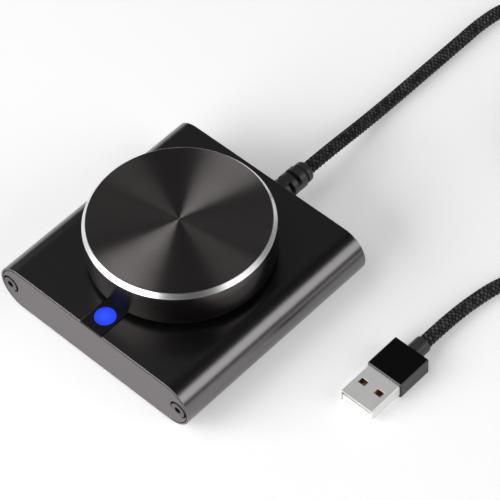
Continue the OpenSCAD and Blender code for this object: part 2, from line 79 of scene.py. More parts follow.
forward = (looks_at - camera_at).normalized()
level = forward.cross(Vector((0, 0, 1))).normalized()
raised = level.cross(forward)
right = math.cos(tilt) * level + math.sin(tilt) * raised
upward = math.cos(tilt) * raised - math.sin(tilt) * level

lens = bpy.data.cameras.new("photo_camera")
lens.sensor_width = 36
lens.lens = 186.75
lens.clip_start = 0.01
camera = bpy.data.objects.new("photo_camera", lens)
camera.matrix_world = Matrix.Translation(camera_at) @ Matrix(
    (right, upward, -forward)).transposed().to_4x4()
bpy.context.scene.collection.objects.link(camera)
bpy.context.scene.camera = camera
print("camera distance (mm):", round((looks_at - camera_at).length / MM))

# %% [markdown]
# ## The room's light
#
# The object is almost all black metal, and black metal shows only what it mirrors. So the lights
# are large soft boxes, each put where one surface mirrors it: the front one lights the front plate
# and the near part of the knob's rim, the right one draws the bright band along the rounded side.
# The room itself stays dark grey, which keeps the top of the case dark.

# %% Build the soft boxes
scene = bpy.context.scene
scene.view_settings.view_transform = "Standard"
scene.view_settings.look = "None"


def softbox(name, heading, height, distance, width, tall, glow):
    """A square light. heading and height are the angles it is seen at from the object."""
    light = bpy.data.lights.new(name, "AREA")
    light.shape = "RECTANGLE"
    light.size, light.size_y = width, tall
    light.energy = glow * math.pi * width * tall
    lamp = bpy.data.objects.new(name, light)
    a, h = math.radians(heading), math.radians(height)
    way = Vector((math.cos(h) * math.cos(a), math.cos(h) * math.sin(a), math.sin(h)))
    lamp.location = way * distance
    lamp.rotation_euler = way.to_track_quat("Z", "Y").to_euler()
    scene.collection.objects.link(lamp)


softbox("front_box", -109, 24, 1.6, 2.0, 0.95, 5.8)
softbox("right_box", 18, 31, 1.6, 1.2, 0.9, 2.4)
softbox("left_box", 174, 28, 1.6, 0.9, 0.6, 0.26)
softbox("high_box", -135, 60, 1.8, 1.4, 0.8, 1.6)
softbox("rear_box", 135, 48, 1.8, 1.6, 1.1, 0.052)

room = bpy.data.worlds.new("room")
room.use_nodes = True
room.node_tree.nodes["Background"].inputs["Color"].default_value = (0.03, 0.03, 0.031, 1)
scene.world = room

# %% [markdown]
# ## Three small helpers for node trees
#
# A material, a shader group and a Geometry Nodes tree are all made of nodes, sockets and links.
# `add` makes a node and fills its sockets: a socket that it is given is linked, and a plain value
# is set. `calc` does that for one step of arithmetic, and `group` starts a group, with its named
# sockets.

# %% Node helpers


def add(tree, kind, inputs=None, **settings):
    """Adds a node, sets its properties, then links or sets its inputs."""
    node = tree.nodes.new(kind)
    for name, value in settings.items():
        setattr(node, name, value)
    for key, value in (inputs or {}).items():
        if isinstance(value, bpy.types.NodeSocket):
            tree.links.new(value, node.inputs[key])
        else:
            node.inputs[key].default_value = value
    return node


def calc(tree, operation, *values):
    """One Math node, and its result."""
    return add(tree, "ShaderNodeMath", dict(enumerate(values)), operation=operation).outputs[0]


def group(kind, name, takes, gives):
    """A node group with named sockets: {name: (type, default)}."""
    tree = bpy.data.node_groups.new(name, kind)
    for label, (socket, default) in takes.items():
        made = tree.interface.new_socket(label, in_out="INPUT", socket_type=socket)
        if default is not None:
            made.default_value = default
    for label, socket in gives.items():
        tree.interface.new_socket(label, in_out="OUTPUT", socket_type=socket)
    return tree, tree.nodes.new("NodeGroupInput").outputs, tree.nodes.new("NodeGroupOutput").inputs


FLOAT, VECTOR = "NodeSocketFloat", "NodeSocketVector"
print("helpers ready")

# %% [markdown]
# ## Effects that several finishes share
#
# Each effect is one shader group, built once: `grain` is the fine tooth of blasted or moulded
# surfaces, `handling` is the faint cloudiness that fingers leave, and `turned` is the ring pattern
# of a lathe tool. They give out heights and masks, and each material decides how strongly to use
# them.

# %% Grain and handling
grain, takes, gives = group("ShaderNodeTree", "grain",
    {"Vector": (VECTOR, None), "Size": (FLOAT, 0.2)}, {"Height": FLOAT})
scale = calc(grain, "DIVIDE", 1 / MM, takes["Size"])
fine = add(grain, "ShaderNodeTexNoise", {"Vector": takes["Vector"], "Scale": scale,
    "Detail": 2.0, "Roughness": 0.6})
grain.links.new(fine.outputs[0], gives["Height"])

handling, takes, gives = group("ShaderNodeTree", "handling",
    {"Vector": (VECTOR, None), "Size": (FLOAT, 12.0), "Contrast": (FLOAT, 1.0)}, {"Mask": FLOAT})
scale = calc(handling, "DIVIDE", 1 / MM, takes["Size"])
cloud = add(handling, "ShaderNodeTexNoise", {"Vector": takes["Vector"], "Scale": scale,
    "Detail": 5.0, "Roughness": 0.62, "Distortion": 0.4})
off = calc(handling, "SUBTRACT", cloud.outputs[0], 0.5)
handling.links.new(calc(handling, "MULTIPLY_ADD", off, takes["Contrast"], 0.5), gives["Mask"])
print("grain and handling ready")

# %% Turned rings
turned, takes, gives = group("ShaderNodeTree", "turned",
    {"Vector": (VECTOR, None), "Pitch": (FLOAT, 0.12)}, {"Height": FLOAT, "Fine": FLOAT})
flat = add(turned, "ShaderNodeVectorMath", {0: takes["Vector"], 1: (1.0, 1.0, 0.0)},
    operation="MULTIPLY")
radius = add(turned, "ShaderNodeVectorMath", {0: flat.outputs[0]}, operation="LENGTH")
level = add(turned, "ShaderNodeSeparateXYZ", {0: takes["Vector"]}).outputs["Z"]
cut = calc(turned, "ADD", radius.outputs["Value"], level)
turns = calc(turned, "DIVIDE", cut, calc(turned, "MULTIPLY", takes["Pitch"], MM))
rings = add(turned, "ShaderNodeTexNoise", {"W": turns, "Scale": 1.0, "Detail": 3.0,
    "Roughness": 0.7}, noise_dimensions="1D")
speck = add(turned, "ShaderNodeTexNoise", {"Vector": takes["Vector"], "Scale": 9000.0,
    "Detail": 1.0})
turned.links.new(rings.outputs[0], gives["Height"])
turned.links.new(speck.outputs[0], gives["Fine"])
print("shader groups:", [g.name for g in bpy.data.node_groups])

# %% [markdown]
# ## What every finish starts from
#
# Each surface of the real object has one finish, and each finish here is one Principled shader with
# the effects above laid on it. Pictures of real surfaces could be used too, but patterns made of
# nodes need no flattening of the mesh and stay sharp close up.

# %% Material helpers


def material(name, **sockets):
    """A material with its Principled shader. Socket names are given with _ for a blank."""
    made = bpy.data.materials.new(name)
    made.use_nodes = True
    shader = made.node_tree.nodes["Principled BSDF"]
    for key, value in sockets.items():
        shader.inputs[key.replace("_", " ")].default_value = value
    place = add(made.node_tree, "ShaderNodeTexCoord").outputs["Object"]
    return made, made.node_tree, shader, place


def effect(tree, which, **inputs):
    """Places a shared shader group in a material."""
    return add(tree, "ShaderNodeGroup", inputs, node_tree=which).outputs


def bump(tree, shader, height, depth, strength=1.0):
    """Feeds a height, depth millimetres deep, to the shader's normal."""
    made = add(tree, "ShaderNodeBump", {"Height": height, "Distance": depth * MM,
        "Strength": strength})
    tree.links.new(made.outputs["Normal"], shader.inputs["Normal"])


def spread(tree, value, low, high):
    """Maps a mask from 0 to 1 onto low to high."""
    return add(tree, "ShaderNodeMapRange",
        {"Value": value, "To Min": low, "To Max": high}).outputs[0]


def tinted(tree, mask, dark, light):
    """A colour between dark and light, by a mask."""
    mix = add(tree, "ShaderNodeMix", data_type="RGBA")
    tree.links.new(mask, mix.inputs["Factor"])
    mix.inputs["A"].default_value = (*dark, 1)
    mix.inputs["B"].default_value = (*light, 1)
    return mix.outputs["Result"]


print("material helpers ready")

# %% [markdown]
# ## The floor
#
# The object stands on a plain pale sheet, the kind of milky sheet that product photographers light
# from below a little so that shadows stay faint. It is one large flat mesh, a hair under z = 0 so
# that it never fights with the feet, and its colour is faintly uneven.

# %% Make the floor
floor_mesh = bpy.data.meshes.new("floor")
FLOOR_REACH, FLOOR_Z = 2.5, -0.02 * MM  # from the middle to each side, and how high it lies
floor_mesh.from_pydata([(x * FLOOR_REACH, y * FLOOR_REACH, FLOOR_Z)
    for x, y in ((-1, -1), (1, -1), (1, 1), (-1, 1))], [], [(0, 1, 2, 3)])
floor = bpy.data.objects.new("floor", floor_mesh)
scene.collection.objects.link(floor)
paper, tree, shader, place = material("lit_sheet", Roughness=0.9, Specular_IOR_Level=0.1,
    Emission_Color=(1, 1, 1, 1), Emission_Strength=0.3)
mask = effect(tree, handling, Vector=place, Size=60.0, Contrast=1.0)["Mask"]
tree.links.new(tinted(tree, mask, (0.9, 0.9, 0.9), (0.93, 0.93, 0.93)), shader.inputs["Base Color"])
floor_mesh.materials.append(paper)
print("floor made")

# %% [markdown]
# ## The lead's line
#
# The lead leaves the strain relief, drops to the table and runs straight back. What the photograph
# doesn't show is put away: two flat layers of turns, out of the picture, from whose end the lead
# comes back into it to the plug. The points are those of the CAD model. A smooth curve through them
# gives the centreline, and rings are placed on it at even steps, closer together where it shows.

# %% Compute the centreline
CORD_D = 4.5
TURNS, PER_TURN = 7.25, 24  # turns in the coil, and points on each turn
FINE, COARSE = 0.375, 0.5  # millimetres between rings, near the ends and in the coil
lead_route = [(1.2, 53, 8.4), (1.2, 57.5, 8.4), (0.9, 66, 7.6), (-0.2, 75, 5.2), (-1.1, 84, 3.2),
    (-1.5, 94, 2.25), (-1.5, 106, 2.25), (-1.5, 118, 2.25), (-1.5, 130, 2.25), (-1.4, 140, 2.25),
    (0, 149, 2.25), (5, 158.5, 2.25), (13, 165.4, 2.25), (23, 168.3, 2.25), (34, 169, 2.25),
    (45, 169, 2.25), (54, 169, 2.8), (62.4, 169, 3.25)]
plug_route = [(106.9, 124.5, 8.25), (106.2, 114.5, 7), (103.4, 104, 4.4), (98, 94.6, 2.6),
    (90.7, 86.2, 2.25), (82.5, 78.5, 2.25), (75.5, 70.5, 2.25), (71, 61, 2.25), (69, 51, 2.25),
    (68.4, 42, 2.6), (68.4, 34.2, 3), (68.4, 29.7, 3)]


def coil_point(turn):
    """A point on the coil, which winds in and then out again on top of itself."""
    middle, outer, pitch, low = (71.4, 133.5), 35.5, 5.0, 3.25
    half = TURNS / 2
    r = outer - pitch * (half - abs(turn - half))
    a = math.radians(90 - 360 * turn)
    u = min(1, max(0, (turn - half) * 2 + 0.5))
    return (middle[0] + r * math.cos(a), middle[1] + r * math.sin(a),
        low + pitch * u * u * (3 - 2 * u))


def smooth_line(points, per_span=24):
    """A curve through all the points, with no corner at any of them."""
    p = np.array(points, float)
    p = np.vstack([2 * p[0] - p[1], p, 2 * p[-1] - p[-2]])
    out = []
    for i in range(1, len(p) - 2):
        a, b, c, d = p[i - 1:i + 3]
        t1, t2 = [np.linalg.norm(e - s) ** 0.5 for s, e in ((a, b), (b, c))]
        t3 = np.linalg.norm(d - c) ** 0.5
        m1 = (c - b) + t2 * ((b - a) / t1 - (c - a) / (t1 + t2))
        m2 = (c - b) + t2 * ((d - c) / t3 - (d - b) / (t2 + t3))
        for u in np.linspace(0, 1, per_span, endpoint=False):
            out.append((2 * u**3 - 3 * u**2 + 1) * b + (u**3 - 2 * u**2 + u) * m1
                + (-2 * u**3 + 3 * u**2) * c + (u**3 - u**2) * m2)
    return np.array(out + [p[-2]])


def placed_along(line, steps):
    """Points on a line at the given distances from its start."""
    gone = np.concatenate([[0], np.cumsum(np.linalg.norm(np.diff(line, axis=0), axis=1))])
    return np.stack([np.interp(steps, gone, line[:, k]) for k in range(3)], axis=1)


def length_of(line):
    return float(np.linalg.norm(np.diff(line, axis=0), axis=1).sum())


coil_points = [coil_point(i / PER_TURN) for i in range(int(TURNS * PER_TURN) + 1)]
centreline = smooth_line(lead_route + coil_points + plug_route)
cord_length = length_of(centreline)
seen_to, seen_from = 165.0, cord_length - 112.0  # between these the rings are wider apart
ring_steps = np.concatenate([np.arange(0, seen_to, FINE), np.arange(seen_to, seen_from, COARSE),
    np.arange(seen_from, cord_length - 0.2, FINE), [cord_length]])
rings_at = placed_along(centreline, ring_steps)
print("lead (mm):", round(cord_length, 1), "rings:", len(rings_at))

# %% [markdown]
# ## The braided sleeve
#
# The lead is covered with a braid: flat bundles of yarn that wind round it both ways, over one and
# under one. Geometry Nodes sweep a circle along the centreline, then push each point out by the
# braid's height. Two slanted counters, one for each way round, say which bundle a point is on, and
# the parity of their sum says which one lies on top. The place on the braid is kept as an
# attribute, so that the material can colour the same bundles that the mesh raises.

# %% Grow the braid with Geometry Nodes
CARRIERS, LAY = 7.0, 10.5 * MM  # bundles each way round, and how far on one is after a turn
RELIEF = 0.26 * MM  # from a bundle's back down to the gaps
FLUSH = 0.97  # the braid's height that lies on the lead's own radius, where 1 is a bundle's back
braid_tree, takes, gives = group("GeometryNodeTree", "braided_sleeve",
    {"Geometry": ("NodeSocketGeometry", None), "Radius": (FLOAT, CORD_D / 2 * MM),
     "Carriers": (FLOAT, CARRIERS), "Lay": (FLOAT, LAY), "Relief": (FLOAT, RELIEF),
     "Sides": ("NodeSocketInt", 28), "Finish": ("NodeSocketMaterial", None)},
    {"Geometry": "NodeSocketGeometry"})

tube_line = add(braid_tree, "GeometryNodeMeshToCurve", {"Mesh": takes["Geometry"]})
run = add(braid_tree, "GeometryNodeSplineParameter")
kept_run = add(braid_tree, "GeometryNodeCaptureAttribute", {"Geometry": tube_line.outputs[0]},
    domain="POINT")
kept_run.capture_items.new("FLOAT", "run")
braid_tree.links.new(run.outputs["Length"], kept_run.inputs["run"])
profile = add(braid_tree, "GeometryNodeCurvePrimitiveCircle",
    {"Resolution": takes["Sides"], "Radius": takes["Radius"]})
turn = add(braid_tree, "GeometryNodeSplineParameter")
kept_turn = add(braid_tree, "GeometryNodeCaptureAttribute", {"Geometry": profile.outputs[0]},
    domain="POINT")
kept_turn.capture_items.new("FLOAT", "turn")
braid_tree.links.new(turn.outputs["Factor"], kept_turn.inputs["turn"])
tube = add(braid_tree, "GeometryNodeCurveToMesh", {"Curve": kept_run.outputs["Geometry"],
    "Profile Curve": kept_turn.outputs["Geometry"], "Fill Caps": True})


def counters(tree, along, around, carriers, lay):
    """The two counters that say which bundle, of each way round, a place on the braid is on."""
    steps = calc(tree, "DIVIDE", along, lay)
    return (calc(tree, "MULTIPLY", calc(tree, "ADD", around, steps), carriers),
        calc(tree, "MULTIPLY", calc(tree, "SUBTRACT", around, steps), carriers))


def braid_height(tree, one, other):
    """How high the braid stands at a place on it, from 0 in the gaps to 1 on a bundle's back."""
    hills = [calc(tree, "ABSOLUTE", calc(tree, "SINE", calc(tree, "MULTIPLY", way, math.pi)))
             for way in (one, other)]
    parity = calc(tree, "FLOORED_MODULO", calc(tree, "ADD", calc(tree, "FLOOR", one),
        calc(tree, "FLOOR", other)), 2.0)
    over = calc(tree, "MULTIPLY", calc(tree, "POWER", hills[0], 0.55), hills[1])
    under = calc(tree, "MULTIPLY", calc(tree, "POWER", hills[1], 0.55), hills[0])
    kept = calc(tree, "MULTIPLY", over, parity)
    return calc(tree, "MULTIPLY_ADD", under, calc(tree, "SUBTRACT", 1.0, parity), kept), parity


height, parity = braid_height(braid_tree, *counters(braid_tree, kept_run.outputs["run"],
    kept_turn.outputs["turn"], takes["Carriers"], takes["Lay"]))
lift = calc(braid_tree, "MULTIPLY", calc(braid_tree, "SUBTRACT", height, FLUSH), takes["Relief"])
outward = add(braid_tree, "GeometryNodeInputNormal")
push = add(braid_tree, "ShaderNodeVectorMath", {0: outward.outputs[0], "Scale": lift},
    operation="SCALE")
raised_tube = add(braid_tree, "GeometryNodeSetPosition", {"Geometry": tube.outputs[0],
    "Offset": push.outputs[0]})
around = calc(braid_tree, "MULTIPLY", kept_turn.outputs["turn"], 2 * math.pi)
spot = add(braid_tree, "ShaderNodeCombineXYZ", {"X": kept_run.outputs["run"],
    "Y": calc(braid_tree, "COSINE", around), "Z": calc(braid_tree, "SINE", around)})
noted = add(braid_tree, "GeometryNodeStoreNamedAttribute", {"Geometry": raised_tube.outputs[0],
    "Name": "braid_place", "Value": spot.outputs[0]}, data_type="FLOAT_VECTOR", domain="POINT")
smoothed = add(braid_tree, "GeometryNodeSetShadeSmooth", {"Geometry": noted.outputs[0]})
real = add(braid_tree, "GeometryNodeRealizeInstances", {"Geometry": smoothed.outputs[0]})
done = add(braid_tree, "GeometryNodeSetMaterial", {"Geometry": real.outputs[0],
    "Material": takes["Finish"]})
braid_tree.links.new(done.outputs[0], gives["Geometry"])
print("braid nodes:", len(braid_tree.nodes))

# %% [markdown]
# ## The braid's yarn
#
# The yarn is a matt black synthetic. Its colour holds painted light: a painted highlight, mid grey,
# on the back of each bundle, where its fibres catch the light, and painted shade, black, in the
# gaps.
# The material works out the same height as the mesh, from the place that the mesh carries, and adds
# the fibres, which run along each bundle. Each crossing gets a random shade of its own, because no
# two bundles lie quite alike.

# %% Make the yarn material
SLOPE = 1.35  # about the lead's girth over the lay, so that the fibres run along the bundles
yarn, tree, shader, place = material("yarn", Specular_IOR_Level=0.25)
spot = add(tree, "ShaderNodeAttribute", attribute_name="braid_place").outputs["Vector"]
parts = add(tree, "ShaderNodeSeparateXYZ", {0: spot}).outputs
angle = calc(tree, "ARCTAN2", parts["Z"], parts["Y"])
one, other = counters(tree, parts["X"], calc(tree, "DIVIDE", angle, 2 * math.pi), CARRIERS, LAY)
height, parity = braid_height(tree, one, other)
first = calc(tree, "FLOOR", one)
crossing = add(tree, "ShaderNodeCombineXYZ", {"X": calc(tree, "FLOORED_MODULO", first, CARRIERS),
    "Y": calc(tree, "SUBTRACT", first, calc(tree, "FLOOR", other))})
shade = add(tree, "ShaderNodeTexWhiteNoise", {"Vector": crossing.outputs[0]}).outputs["Value"]
around = calc(tree, "MULTIPLY", angle, CORD_D / 2 * MM)
slant = calc(tree, "MULTIPLY_ADD", parity, 2.0, -1.0)
across = calc(tree, "MULTIPLY_ADD", calc(tree, "MULTIPLY", parts["X"], slant), SLOPE, around)
fibres = add(tree, "ShaderNodeTexWave", {"Vector": add(tree, "ShaderNodeCombineXYZ",
    {"X": across}).outputs[0], "Scale": 900.0, "Distortion": 0.6, "Detail": 1.0},
    bands_direction="X")
fluff = effect(tree, grain, Vector=place, Size=0.7)["Height"]
# painted highlight on each bundle's back and painted shade in the gaps, from the braid's height
lit = calc(tree, "MULTIPLY", calc(tree, "POWER", height, 1.3), spread(tree, fluff, -1.2, 3.0))
lit = calc(tree, "MULTIPLY", lit, spread(tree, shade, 0.25, 1.75))
lit = calc(tree, "MULTIPLY", lit, spread(tree, fibres.outputs["Fac"], 0.7, 1.15))
tree.links.new(tinted(tree, lit, (0.005, 0.005, 0.0055), (0.1, 0.098, 0.098)),
    shader.inputs["Base Color"])
tree.links.new(spread(tree, height, 0.95, 0.62), shader.inputs["Roughness"])
thread_height = calc(tree, "MULTIPLY_ADD", fibres.outputs["Fac"], 0.12, height)
bump(tree, shader, thread_height, 0.22, 0.9)
print("yarn material made")

# %% [markdown]
# ## Sweeping the lead
#
# The centreline becomes a mesh of points and edges, and that goes through the tree above. The mesh
# that comes out is kept, and not the modifier. One function then puts each piece in the scene: it
# says which body the piece rides on and which nodes of the CAD model it stands for, and hides
# those nodes.

# %% Sweep the lead


def run_nodes(source, tree, name, **values):
    """Runs a Geometry Nodes tree on an object, and returns the plain mesh that comes out."""
    worker = source.modifiers.new("grow", "NODES")
    worker.node_group = tree
    for item in tree.interface.items_tree:
        if item.in_out == "INPUT" and item.name in values:
            worker[item.identifier] = values[item.name]
    shapes = bpy.context.evaluated_depsgraph_get()
    source.update_tag()
    bpy.context.view_layer.update()
    mesh = bpy.data.meshes.new_from_object(source.evaluated_get(shapes), depsgraph=shapes)
    mesh.name = name
    source.modifiers.remove(worker)
    for k in reversed(range(len(mesh.materials))):  # copies bring an empty slot with them
        if mesh.materials[k] is None:
            mesh.materials.pop(index=k)
    return mesh


def shown(name, mesh, body, slot, *nodes):
    """Puts a mesh in the scene as a piece, on the body that it rides on, and hides the nodes that
    it stands for. slot is not used.
    """
    piece = bpy.data.objects.new(name, mesh)
    scene.collection.objects.link(piece)
    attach(piece, body)
    if nodes:
        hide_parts(*nodes)
    return piece


line_mesh = bpy.data.meshes.new("lead_line")
line_mesh.from_pydata([tuple(p * MM) for p in rings_at],
    [(i, i + 1) for i in range(len(rings_at) - 1)], [])
line_object = bpy.data.objects.new("lead_line", line_mesh)
scene.collection.objects.link(line_object)
lead_mesh = run_nodes(line_object, braid_tree, "braided_lead", Finish=yarn)
bpy.data.objects.remove(line_object)
braided_lead = shown("braided_lead", lead_mesh, "base", "braid_black", "lead", "coil", "plug_lead")
print("braided lead:", len(lead_mesh.polygons), "faces, lowest z (mm):",
    round(min(v.co.z for v in lead_mesh.vertices) / MM, 2))

# %% [markdown]
# ## Pieces copied from the CAD model
#
# Most rigid pieces already have their true shape. What they lack is the small rounding that every
# real edge has, and it is that rounding which catches the light. A copy of the CAD mesh has its
# triangles merged back into flat faces, and then a Bevel modifier rounds its sharp edges.

# %% Round the edges of a CAD piece


def rounded_copy(node, name, width, segments=2, sharp=28):
    """A copy of a CAD node with edges sharper than an angle rounded. width is in millimetres."""
    mesh = frame["nodes"][node].data.copy()
    mesh.name = name
    work = bmesh.new()
    work.from_mesh(mesh)
    bmesh.ops.remove_doubles(work, verts=work.verts, dist=2e-6)
    bmesh.ops.dissolve_limit(work, angle_limit=math.radians(0.6), verts=work.verts,
        edges=work.edges)
    work.to_mesh(mesh)
    work.free()
    if mesh.has_custom_normals:
        mesh.attributes.remove(mesh.attributes["custom_normal"])
    mesh.materials.clear()
    helper = bpy.data.objects.new(name, mesh)
    scene.collection.objects.link(helper)
    edge = helper.modifiers.new("edge", "BEVEL")
    edge.width, edge.segments = width * MM, segments
    edge.limit_method, edge.angle_limit = "ANGLE", math.radians(sharp)
    edge.use_clamp_overlap = True
    edge.harden_normals = True
    bpy.context.view_layer.update()
    shapes = bpy.context.evaluated_depsgraph_get()
    made = bpy.data.meshes.new_from_object(helper.evaluated_get(shapes), depsgraph=shapes)
    bpy.data.objects.remove(helper)
    made.name = name
    return made


print("edge rounding ready")

# %% [markdown]
# ## Anodised metal
#
# The case is an aluminium extrusion, blasted and anodised black. It has no colour of its own: it
# mirrors the room, weakly and a little blurred, with a tooth of about a tenth of a millimetre. A
# narrow seam runs round each end plate, dark because the gap swallows light. It could be a groove
# in the mesh. It is a mask in the finish instead, the group `seam`, which finds it by its distance
# from the plate's outline: a bar with two round ends.

# %% Make the anodised finishes
SEAM_OUT = 0.05 * MM  # from the plate's outline out to the middle of the seam
SEAM_DARK, SEAM_EDGE = 0.1 * MM, 0.24 * MM  # from its middle: dark up to here, gone from here on
seam, takes, gives = group("ShaderNodeTree", "seam", {"Vector": (VECTOR, None)}, {"Open": FLOAT})
low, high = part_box("front_plate")
HALF_H, MID_Z = (high.z - low.z) / 2, (high.z + low.z) / 2
spot = add(seam, "ShaderNodeSeparateXYZ", {0: takes["Vector"]}).outputs
past = calc(seam, "MAXIMUM", calc(seam, "SUBTRACT", calc(seam, "ABSOLUTE", spot["X"]),
    high.x - HALF_H), 0.0)
rise = calc(seam, "SUBTRACT", spot["Z"], MID_Z)
reach = calc(seam, "SQRT", calc(seam, "ADD", calc(seam, "MULTIPLY", past, past),
    calc(seam, "MULTIPLY", rise, rise)))
off = calc(seam, "ABSOLUTE", calc(seam, "SUBTRACT", reach, HALF_H + SEAM_OUT))
opened = add(seam, "ShaderNodeMapRange",
    {"Value": off, "From Min": SEAM_DARK, "From Max": SEAM_EDGE})
seam.links.new(opened.outputs[0], gives["Open"])


def anodised(name, base, rough, tooth=0.12, depth=0.004, seamed=False):
    """Blasted and anodised aluminium: a dark blurred mirror with a fine tooth."""
    made, tree, shader, place = material(name, Metallic=1.0)
    mask = effect(tree, handling, Vector=place, Size=14.0, Contrast=0.5)["Mask"]
    colour = tinted(tree, mask, tuple(c * 0.95 for c in base), tuple(c * 1.05 for c in base))
    if seamed:
        colour = add(tree, "ShaderNodeVectorMath", {0: colour, "Scale": spread(tree,
            effect(tree, seam, Vector=place)["Open"], 0.12, 1.0)}, operation="SCALE").outputs[0]
    tree.links.new(colour, shader.inputs["Base Color"])
    tree.links.new(spread(tree, mask, rough - 0.015, rough + 0.015), shader.inputs["Roughness"])
    height = effect(tree, grain, Vector=place, Size=tooth)["Height"]
    bump(tree, shader, height, depth)
    return made


case_finish = anodised("case_anodised", (0.165, 0.158, 0.16), 0.27)
plate_finish = anodised("plate_anodised", (0.172, 0.155, 0.158), 0.36, seamed=True)
screw_finish = anodised("screw_anodised", (0.14, 0.126, 0.128), 0.4, 0.15, 0.006)
print("anodised finishes made")

# %% Dress the case
case_mesh = rounded_copy("body_shell", "case", 0.2)
case_mesh.materials.append(case_finish)
case_mesh.materials.append(plate_finish)
for face in case_mesh.polygons:  # the sawn ends are as light as the plates
    face.material_index = int(abs(face.normal.y) > 0.9)
shown("case", case_mesh, "base", "case_black", "body_shell")
for node in ("front_plate", "rear_plate"):
    mesh = rounded_copy(node, node + "_rounded", 0.1)
    mesh.materials.append(plate_finish)
    shown(node + "_finished", mesh, "base", "plate_grey", node)
print("case faces:", len(case_mesh.polygons))

# %% [markdown]
# ## The knob
#
# The knob is turned from one bar of aluminium, so it is one outline spun about the axis. The face
# and the side keep the lathe's fine rings, and the rim is cut bright after anodising. The outline
# is spun with many sides, so that the rim is round close up.

# %% Spin the knob's outline
lowest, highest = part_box("knob_cap")
knob_r = (highest.x - lowest.x) / 2 / MM
knob_z0, knob_z1 = lowest.z / MM, highest.z / MM
core_low, core_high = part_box("knob_core")
boss_z, core_top = core_low.z / MM, core_high.z / MM
core_r = (core_high.x - core_low.x) / 2 / MM + 0.05
chamfer_r, chamfer_h, wall, boss_r = 1.1, 1.4, 4.0, 9.0
soft, lip = 0.3, 0.4  # rounding of the edges underneath, and of the lower outer edge


def arc(x, z, r, start, end, steps=4):
    """Points on a quarter round, in the outline's plane. Angles in degrees."""
    return [(x + r * math.cos(math.radians(a)), z + r * math.sin(math.radians(a)))
            for a in np.linspace(start, end, steps + 1)]


outline = [(0, core_top), (core_r, core_top), (core_r, boss_z), (boss_r - soft, boss_z)]
outline += arc(boss_r - soft, boss_z + soft, soft, -90, 0, 2) + [(boss_r, core_top)]
outline += [(knob_r - wall, core_top), (knob_r - wall, knob_z0 + soft)]
outline += [(knob_r - wall + soft, knob_z0), (knob_r - lip, knob_z0)]
outline += arc(knob_r - lip, knob_z0 + lip, lip, -90, 0)
side_from = len(outline) - 1
outline += [(knob_r, knob_z1 - chamfer_h - 0.08)]
rim_from = len(outline)
outline += [(knob_r - 0.06, knob_z1 - chamfer_h), (knob_r - chamfer_r + 0.04, knob_z1 - 0.06)]
face_from = len(outline)
outline += [(knob_r - chamfer_r - 0.06, knob_z1), (knob_r * 0.6, knob_z1), (knob_r * 0.3, knob_z1),
    (0, knob_z1)]
SIDES = 256


def spun(name, profile, sides, zone_of):
    """A closed mesh from an outline turned about the Z axis. zone_of(k) is span k's material."""
    points, faces, zones, rows = [], [], [], []
    for x, z in profile:
        if x < 1e-9:
            rows.append([len(points)] * sides)
            points.append((0, 0, z * MM))
        else:
            rows.append(list(range(len(points), len(points) + sides)))
            points += [(x * math.cos(2 * math.pi * k / sides) * MM,
                x * math.sin(2 * math.pi * k / sides) * MM, z * MM) for k in range(sides)]
    for i in range(len(profile) - 1):
        for k in range(sides):
            n = (k + 1) % sides
            loop = [rows[i][k], rows[i][n], rows[i + 1][n], rows[i + 1][k]]
            loop = [v for j, v in enumerate(loop) if v not in loop[:j]]
            if len(loop) > 2:
                faces.append(loop)
                zones.append(zone_of(i))
    mesh = bpy.data.meshes.new(name)
    mesh.from_pydata(points, [], faces)
    mesh.polygons.foreach_set("material_index", zones)
    work = bmesh.new()
    work.from_mesh(mesh)
    bmesh.ops.recalc_face_normals(work, faces=work.faces)
    work.to_mesh(mesh)
    work.free()
    mesh.shade_smooth()
    mesh.set_sharp_from_angle(angle=math.radians(18))
    return mesh


def knob_zone(k):
    return 0 if k < side_from else 1 if k < rim_from - 1 else 2 if k < face_from else 3


knob_mesh = spun("knob", outline, SIDES, knob_zone)
print("knob faces:", len(knob_mesh.polygons), "radius (mm):", round(knob_r, 2))

# %% [markdown]
# ## The knob's finishes
#
# Fine rings spread a highlight across them and keep it narrow along them, which is what draws the
# two bright fans on the face. The shader's anisotropy does that when its tangent runs round the
# axis, and rings in the bump break the fans up as the real cut does. The rim is bare metal: almost
# a mirror, with marks that run round it.

# %% Make the knob's finishes


def turned_metal(name, base, rough, pitch, depth, anisotropy):
    """Metal fresh from the lathe, with rings about the Z axis."""
    made, tree, shader, place = material(name, Metallic=1.0, Anisotropic=anisotropy,
        Anisotropic_Rotation=0.25)
    marks = effect(tree, turned, Vector=place, Pitch=pitch)
    mask = effect(tree, handling, Vector=place, Size=9.0, Contrast=0.9)["Mask"]
    shade = calc(tree, "MULTIPLY", spread(tree, marks["Height"], 0.7, 1.3),
        spread(tree, marks["Fine"], 0.6, 1.4))
    tree.links.new(tinted(tree, calc(tree, "MULTIPLY", shade, 0.5), (0, 0, 0),
        tuple(2 * c for c in base)), shader.inputs["Base Color"])
    tree.links.new(spread(tree, mask, rough - 0.03, rough + 0.05), shader.inputs["Roughness"])
    round_it = add(tree, "ShaderNodeTangent", direction_type="RADIAL", axis="Z")
    tree.links.new(round_it.outputs[0], shader.inputs["Tangent"])
    if depth:
        bump(tree, shader, calc(tree, "MULTIPLY_ADD", marks["Fine"], 0.4, marks["Height"]), depth)
    return made


knob_under = anodised("knob_under", (0.12, 0.12, 0.12), 0.45)
knob_side = turned_metal("knob_side", (0.09, 0.08, 0.077), 0.22, 0.16, 0.0004, 0.3)
knob_rim = turned_metal("knob_rim", (0.86, 0.86, 0.87), 0.3, 0.3, 0.0, 0.4)
knob_face = turned_metal("knob_face", (0.286, 0.26, 0.256), 0.29, 0.09, 0.0008, 1.0)
for finish in (knob_under, knob_side, knob_rim, knob_face):
    knob_mesh.materials.append(finish)
shown("knob", knob_mesh, "knob", "knob_metal", "knob_cap")
print("knob finishes:", [m.name for m in knob_mesh.materials])

